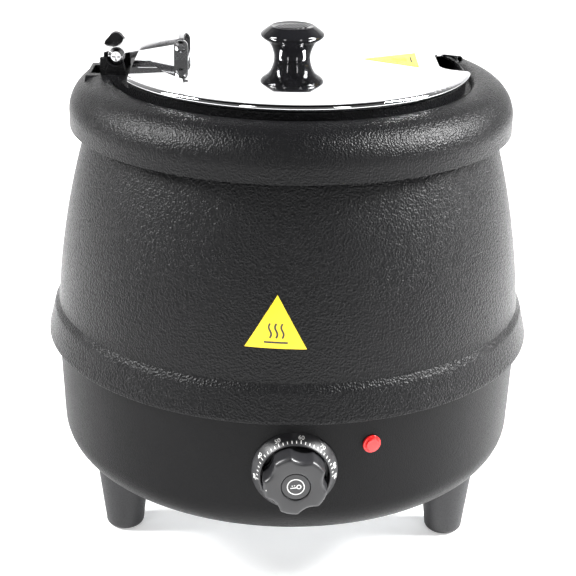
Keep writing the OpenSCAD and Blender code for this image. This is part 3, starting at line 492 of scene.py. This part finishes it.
satin_black = moulding("satin_black_nylon", (0.012, 0.012, 0.013), (0.022, 0.022, 0.024), 0.35, 0.5)
pale_plastic = moulding("pale_plastic", (0.60, 0.58, 0.52), (0.72, 0.70, 0.64), 0.4, 0.55)
glass_sleeve = moulding("glass_sleeve", (0.22, 0.10, 0.06), (0.34, 0.17, 0.10), 0.7, 0.9, 2500, 0.15)
for name in ("cable_gland", "gland_nut", "overheat_cutout"):
    dress(name, satin_black)
for name in ("terminal_block", "pilot_lamp_nut", "thermostat_body"):
    dress(name, pale_plastic)
dress("internal_leads", glass_sleeve)

# ---- Cover ring ----
# A deep ring with a fully rounded shoulder that drops over the top of the body and rests on the pot's
# rim. It has the same coarse coat, and a pad with sloping sides and two ears for the hinge.
ring_coat = coat("ring_black_coat", 800, 0.28, (0.002, 0.002, 0.0023), (0.005, 0.005, 0.0056),
                 0.40, 0.24)
dress("cover_ring", ring_coat)

# ---- Hinge, arm and bracket ----
# Folded strip, bright chromium plated. A pin with a cross-recessed head goes through both ears and the
# arm's lugs, and the arm is screwed to a small folded bracket that is spot-welded on the lid.
chrome = metal("chrome_plate", (0.62, 0.62, 0.63), (0.80, 0.80, 0.81), 0.05, 0.16, 120, (1, 1, 1), 0.004)
for name in ("hinge_pin", "hinge_nut", "lid_arm", "lid_bracket", "bracket_screws", "lid_knob_screw"):
    dress(name, chrome)

# ---- Lid ----
# Mirror-polished stainless sheet with a flat middle, a slight slope to a rolled bead, a straight edge
# at the hinge and a notch with rounded inner corners for a ladle.
mirror_steel = metal("mirror_steel", (0.80, 0.81, 0.82), (0.90, 0.90, 0.91), 0.02, 0.06, 9.0,
                     (1, 1, 1), 0.05)
dress("lid", mirror_steel)

# ---- Lid knob ----
# A gloss black phenolic knob, turned with a waisted neck and an undercut head, and held by a screw
# from below. The top of the head has shallow slanting ribs for grip.
gloss_black = moulding("gloss_black_phenolic", (0.005, 0.005, 0.006), (0.009, 0.009, 0.010),
                       0.03, 0.09, 60, 0.01)
lid_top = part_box("lid_knob")[0].z / MM
neck_line = [(0, 0), (11.8, 0), (12.2, 0.15), (12.35, 0.6), (12.4, 2.0), (12.65, 3.4), (13.1, 5.0),
             (13.8, 7.0), (14.8, 9.0), (15.9, 10.5), (16.9, 11.5), (18.0, 12.3), (19.4, 13.2),
             (20.6, 14.2), (21.2, 15.0), (21.45, 15.7), (21.45, 16.2), (21.2, 16.8), (20.6, 17.4),
             (19.2, 18.5), (16.9, 20.2), (15.1, 21.45), (14.6, 21.75), (14.1, 21.85), (13.6, 21.75),
             (12.9, 21.5), (8.0, 21.3), (0, 21.25)]
lid_knob = turned("lid_knob_turning", neck_line, gloss_black, steps=128, smooth_angle=50,
                  place=Matrix.Translation((0, 0, lid_top * MM)))
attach(lid_knob, "lid_assembly")
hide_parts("lid_knob")


def strips(name, runs, width, rise, material, lay, sink=0.02):
    """Low strips with square ends that follow lines of (x, y) in millimetres, laid by a function."""
    shape = bmesh.new()
    for run in runs:
        rows = []
        for i, (x, y) in enumerate(run):
            ahead = Vector(run[min(i + 1, len(run) - 1)]) - Vector(run[max(i - 1, 0)])
            side = Vector((-ahead.y, ahead.x)).normalized() * width / 2
            corners = ((x + side.x, y + side.y, -sink), (x + side.x, y + side.y, rise),
                       (x - side.x, y - side.y, rise), (x - side.x, y - side.y, -sink))
            rows.append([shape.verts.new(Vector(lay(*c)) * MM) for c in corners])
        for first, second in zip(rows, rows[1:]):
            for k in range(4):
                shape.faces.new((first[k], second[k], second[(k + 1) % 4], first[(k + 1) % 4]))
        shape.faces.new(rows[0])
        shape.faces.new(list(reversed(rows[-1])))
    return link_shape(name, shape, material)


rib_pitch, rib_field_r, rib_slant = 2.5, 11.6, 0.5
knob_face = lid_top + 21.3
rib_runs = []
for i in range(-4, 5):
    middle = i * rib_pitch
    reach = sqrt(max(rib_field_r ** 2 - middle ** 2, 0)) * 0.8
    rib_runs.append([(middle + rib_slant * t * reach, t * reach) for t in (-0.9, -0.45, 0, 0.45, 0.9)])
knob_ribs = strips("lid_knob_ribs", rib_runs, 0.9, 0.35, gloss_black,
                   lambda x, y, z: (x, y, knob_face + z))
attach(knob_ribs, "lid_assembly")

# ---- Dial ----
# A satin black moulded cup behind the knob, whose conical face carries a printed scale from 30 to 85.
# Two screws inside the cup go through the shell into the thermostat.
dial_z = 98.5
wall_y = -162.262
dial_back = wall_y + 3.0
wall_foot_r, wall_foot_z, wall_flare, wall_height = 161.3, 70.0, 2.7, 80.0


def wall_r(z):
    """Radius of the lower shell's side, which widens upwards."""
    return wall_foot_r + wall_flare * (z - wall_foot_z) / wall_height


def lower_wall(x, z):
    """Y of the lower shell's front surface at a place on it."""
    return -sqrt(wall_r(z) ** 2 - x * x)


def on_front(y, z):
    """Turns a piece written with its axis up so that it faces the front."""
    return Matrix.Translation((0, y * MM, z * MM)) @ Matrix.Rotation(radians(90), 4, "X")


cone_outer_r, cone_outer_rise, cone_inner_r, cone_inner_rise = 27.0, 3.8, 22.55, 11.35
dial_corners = [(6.7, 0.0, 0), (cone_outer_r, 0.0, 0), (cone_outer_r, cone_outer_rise, 0.5),
                (cone_inner_r, cone_inner_rise, 0.35), (21.95, 11.6, 0.2), (21.3, 11.2, 0.3),
                (21.3, 4.4, 0.6), (6.7, 4.4, 0.3)]
dial_cup = turned("dial_moulding", rounded(dial_corners), satin_black, steps=160, smooth_angle=40,
                  place=on_front(dial_back, dial_z))
for vertex in dial_cup.data.vertices:
    wall = lower_wall(vertex.co.x / MM, vertex.co.z / MM) * MM
    vertex.co.y = min(vertex.co.y, wall)
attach(dial_cup, "kettle")
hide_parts("dial_plate")

white_print = moulding("white_print", (0.70, 0.70, 0.68), (0.82, 0.82, 0.80), 0.45, 0.6)
cone_slope = atan2(cone_inner_rise - cone_outer_rise, cone_outer_r - cone_inner_r)
scale_r = 23.55


def on_cone(angle):
    """Places flat print on the dial's cone: x across, y outwards from the scale's circle, z off it."""
    turn = Matrix.Rotation(radians(angle - 90), 4, "Z")
    tilt = Matrix.Rotation(-cone_slope, 4, "X")
    rise = cone_outer_rise + (cone_outer_r - scale_r) * tan(cone_slope)
    start = Matrix.Translation((0, scale_r * MM, rise * MM))
    return on_front(dial_back, dial_z) @ turn @ start @ tilt


def scale_angle(reading):
    """Angle on the dial of a reading, counted from the right and falling clockwise."""
    first_reading, first_angle, degrees_per_unit = 30, 185, 3.44
    return first_angle - (reading - first_reading) * degrees_per_unit


print_parts = []
for reading in range(30, 86, 2):
    long_tick = reading % 10 == 0
    mesh = bpy.data.meshes.new("tick")
    half, low, high = 0.26, -1.1, (1.5 if long_tick else 0.9)
    mesh.from_pydata([(x * MM, y * MM, z * MM) for z in (0.0, 0.06) for x, y in
                      ((-half, low), (half, low), (half, high), (-half, high))], [],
                     [(3, 2, 1, 0), (4, 5, 6, 7), (0, 1, 5, 4), (1, 2, 6, 5), (2, 3, 7, 6), (3, 0, 4, 7)])
    mesh.transform(on_cone(scale_angle(reading)))
    print_parts.append(mesh)
for reading in (30, 40, 50, 60, 70, 80, 85):
    figure = bpy.data.curves.new("figure", "FONT")
    figure.body = str(reading)
    figure.size = 4.0 * MM
    figure.align_x = "CENTER"
    figure.offset = 0.04 * MM
    figure.extrude = 0.03 * MM
    holder = bpy.data.objects.new("figure", figure)
    bpy.context.scene.collection.objects.link(holder)
    bpy.context.view_layer.update()
    depsgraph = bpy.context.evaluated_depsgraph_get()
    mesh = bpy.data.meshes.new_from_object(holder.evaluated_get(depsgraph))
    mesh.transform(Matrix.Translation((0, 2.1 * MM, 0.03 * MM)))
    mesh.transform(on_cone(scale_angle(reading)))
    print_parts.append(mesh)
    bpy.data.objects.remove(holder)
scale_shape = bmesh.new()
for mesh in print_parts:
    scale_shape.from_mesh(mesh)
    bpy.data.meshes.remove(mesh)
bmesh.ops.remove_doubles(scale_shape, verts=scale_shape.verts, dist=1e-6)
scale_mesh = bpy.data.meshes.new("dial_scale")
scale_shape.to_mesh(scale_mesh)
scale_shape.free()
scale_mesh.materials.clear()
dial_scale = link_mesh("dial_scale", scale_mesh, white_print, 30)
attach(dial_scale, "kettle")
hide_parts("dial_marks")

# ---- Temperature knob ----
# A satin black moulded knob with five soft lobes, pushed on the thermostat's shaft. Its centre is
# recessed round a cap with a printed mark, and one lobe carries a white line.
knob_radius = 20.5
knob_depth = 18.83
cap_floor = 17.23
knob_back = wall_y - 2.4
knob_turn = 187.0
scallop_r, scallop_out = 14.0, 11.0


def knob_edge(angle, inset):
    """Distance from the knob's axis to its side, with soft shoulders between lobe and scallop."""
    off = (angle - radians(knob_turn + 36) + pi / 5) % (2 * pi / 5) - pi / 5
    reach = knob_radius + scallop_out
    inside = scallop_r ** 2 - (reach * sin(off)) ** 2
    hollow = reach * cos(off) - sqrt(inside) if inside > 0 else knob_radius + 6
    soft = 0.9
    gap = max(soft - abs(knob_radius - hollow), 0.0) / soft
    return min(knob_radius, hollow) - soft * gap * gap / 4 - inset


knob_rings = [(0.0, 1.0), (0.25, 0.3), (0.9, 0.0), (4.0, 0.0), (9.0, 0.05), (14.0, 0.1),
              (16.2, 0.25), (17.3, 0.55), (18.1, 1.05), (18.55, 1.7), (18.78, 2.5), (knob_depth, 3.4)]
recess_rings = [(9.9, knob_depth), (9.5, 18.72), (9.2, 18.35), (9.05, 17.5), (9.0, cap_floor)]
knob_shape = bmesh.new()
rows = []
around = 200
turns = [2 * pi * k / around for k in range(around)]
for height, inset in knob_rings:
    reaches = [knob_edge(a, inset) for a in turns]
    rows.append([knob_shape.verts.new((reach * cos(a) * MM, reach * sin(a) * MM, height * MM))
                 for reach, a in zip(reaches, turns)])
for radius, height in recess_rings:
    rows.append([knob_shape.verts.new((radius * cos(a) * MM, radius * sin(a) * MM, height * MM))
                 for a in turns])
for first, second in zip(rows, rows[1:]):
    for k in range(around):
        knob_shape.faces.new((first[k], first[(k + 1) % around], second[(k + 1) % around], second[k]))
knob_shape.faces.new(list(reversed(rows[0])))
knob_shape.faces.new(rows[-1])
knob_black = moulding("knob_black", (0.010, 0.010, 0.011), (0.018, 0.018, 0.020), 0.30, 0.42, 1800,
                      0.02)
knob = link_shape("temperature_knob_moulding", knob_shape, knob_black, 40,
                  on_front(knob_back, dial_z))
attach(knob, "dial_knob")
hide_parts("temperature_knob")

cap_r, cap_thick = 8.8, 1.1
cap_face = knob_back - cap_floor - cap_thick
cap_outline = rounded([(0, 0, 0), (cap_r, 0, 0), (cap_r, cap_thick, 0.35), (0, cap_thick, 0)])
cap = turned("knob_cap_disc", cap_outline, knob_black, steps=96,
             place=on_front(knob_back - cap_floor, dial_z))
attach(cap, "dial_knob")
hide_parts("knob_cap")


def on_cap(x, y, z):
    """Point on the knob cap's face: x to the right, y up, z off the face."""
    return x, cap_face - z, dial_z + y


ring_run = [(5.2 * cos(2 * pi * k / 64), 5.2 * sin(2 * pi * k / 64)) for k in range(65)]
tube_run = [(-3.3, -1.0), (-2.2, -0.85), (-1.0, -0.7), (0.6, -0.45)]
bulb_run = [(1.9 + 1.25 * cos(2 * pi * k / 24), 0.1 + 1.25 * sin(2 * pi * k / 24)) for k in range(25)]
dash_runs = [[(-2.6, 0.6), (-1.9, 0.7)], [(-1.2, 0.85), (-0.5, 0.95)]]
cap_mark = strips("knob_cap_mark", [ring_run, tube_run, bulb_run] + dash_runs, 0.62, 0.05,
                  white_print, on_cap)
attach(cap_mark, "dial_knob")

line_start, line_end = 14.2, 18.6
pointer_run = [(t * cos(radians(knob_turn)), t * sin(radians(knob_turn)))
               for t in (line_start, (line_start + line_end) / 2, line_end)]
pointer = strips("knob_line", [pointer_run], 0.7, 0.06, white_print,
                 lambda x, y, z: (x, knob_back - 18.7 - z, dial_z + y))
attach(pointer, "dial_knob")
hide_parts("knob_pointer")

# ---- Pilot lamp ----
# A snap-in neon lamp: a translucent red lens with a stepped rim, glowing faintly from inside.
lamp_red, lamp_shader = new_material("lamp_red")
lamp_skin = place_group(lamp_red, mould_skin, Spots_per_metre=700, Dark_Colour=(0.42, 0.006, 0.008, 1),
                        Light_Colour=(0.66, 0.02, 0.018, 1), Low_Roughness=0.08, High_Roughness=0.16)
feed(lamp_red, lamp_skin, lamp_shader, "Height", 0.02 * MM, Colour="Base Color", Roughness="Roughness")
lamp_red.node_tree.links.new(lamp_skin.outputs["Colour"], lamp_shader.inputs["Emission Color"])
lamp_shader.inputs["Emission Strength"].default_value = 0.35
lamp_turn, lamp_z = 17.2, 114.0
lamp_place = Matrix.Rotation(radians(lamp_turn), 4, "Z") @ on_front(-wall_r(lamp_z), lamp_z)
lens_outline = rounded([(0, -15.0, 0), (4.3, -15.0, 0.5), (4.3, 0.3, 0), (5.9, 0.3, 0.2), (5.9, 1.5, 0.5),
                        (4.9, 1.75, 0.3), (4.1, 3.0, 0.6), (0, 3.15, 0)])
lens = turned("pilot_lamp_lens", lens_outline, lamp_red, steps=72, place=lamp_place)
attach(lens, "kettle")
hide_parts("pilot_lamp")

# ---- Warning labels ----
# Thin yellow vinyl triangles, one on the side of the body and one on the lid, each printed with three
# wavy lines for heat over a bar.
yellow_film = moulding("yellow_film", (0.86, 0.60, 0.01), (0.92, 0.68, 0.03), 0.28, 0.4, 400, 0.02)
ink_black = moulding("ink_black", (0.02, 0.02, 0.02), (0.035, 0.035, 0.035), 0.45, 0.6)


film_thick = 0.22


def triangle(name, side, material, lay, rows=24):
    """Film triangle whose grid is laid on a surface by a function."""
    shape = bmesh.new()
    height = side * sqrt(3) / 2
    tops = []
    for layer in (0.0, film_thick):
        grid = []
        for i in range(rows + 1):
            wide = side * i / rows
            level = height * (2 / 3 - i / rows)
            places = [-wide / 2 + wide * k / max(i, 1) for k in range(i + 1)]
            grid.append([shape.verts.new(Vector(lay(x, level, layer)) * MM) for x in places])
        tops.append(grid)
    for grid, flip in zip(tops, (True, False)):
        for i in range(rows):
            for k in range(i + 1):
                faces = [[grid[i][k], grid[i + 1][k], grid[i + 1][k + 1]]]
                if k < i:
                    faces.append([grid[i][k], grid[i + 1][k + 1], grid[i][k + 1]])
                for face in faces:
                    shape.faces.new(reversed(face) if flip else face)
    low, high = tops
    rims = [([g[0] for g in low], [g[0] for g in high]),
            ([g[-1] for g in low], [g[-1] for g in high]), (low[-1], high[-1])]
    for under, over in rims:
        for k in range(rows):
            shape.faces.new((under[k], under[k + 1], over[k + 1], over[k]))
    return link_shape(name, shape, material)


def heat_runs(size):
    """Three upright wavy lines and a bar under them, inside a triangle of that side."""
    runs = []
    for x in (-0.1, 0.0, 0.1):
        runs.append([((x + 0.022 * sin(t * pi / 6)) * size, (-0.12 + t * 0.02) * size)
                     for t in range(13)])
    runs.append([(t * 0.024 * size, -0.19 * size) for t in range(-8, 9)])
    return runs


barrel_centre = bow_centre(waist, neck, side_bow_r)


def on_barrel(x, y, z):
    """Point of the body's label: x across, y up, z off the bowed side."""
    turn, face, label_z = radians(-1), radians(-4.6), 192.0
    across, up = x * cos(turn) - y * sin(turn), label_z + x * sin(turn) + y * cos(turn)
    radius = barrel_centre.x + sqrt(side_bow_r ** 2 - (up - barrel_centre.y) ** 2) + z
    side = sqrt(radius * radius - across * across)
    return across * cos(face) + side * sin(face), across * sin(face) - side * cos(face), up


lid_label_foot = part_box("lid_label")[0].z / MM


def on_lid(x, y, z):
    """Point of the lid's label, whose top corner points at the hinge."""
    middle, label_r = radians(-2.8), 72.0
    turn = middle + radians(90)
    return (label_r * cos(middle) + x * cos(turn) - y * sin(turn),
            label_r * sin(middle) + x * sin(turn) + y * cos(turn), lid_label_foot + z)


for name, side, lay, body, node in (("body_label_film", 38.0, on_barrel, "kettle", "body_label"),
                                    ("lid_label_film", 41.5, on_lid, "lid_assembly", "lid_label")):
    film = triangle(name, side, yellow_film, lay)
    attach(film, body)
    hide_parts(node)
    ink = strips(name.replace("film", "print"), heat_runs(side), side * 0.03, 0.05, ink_black,
                 lambda x, y, z, lay=lay: lay(x, y, z + film_thick))
    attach(ink, body)
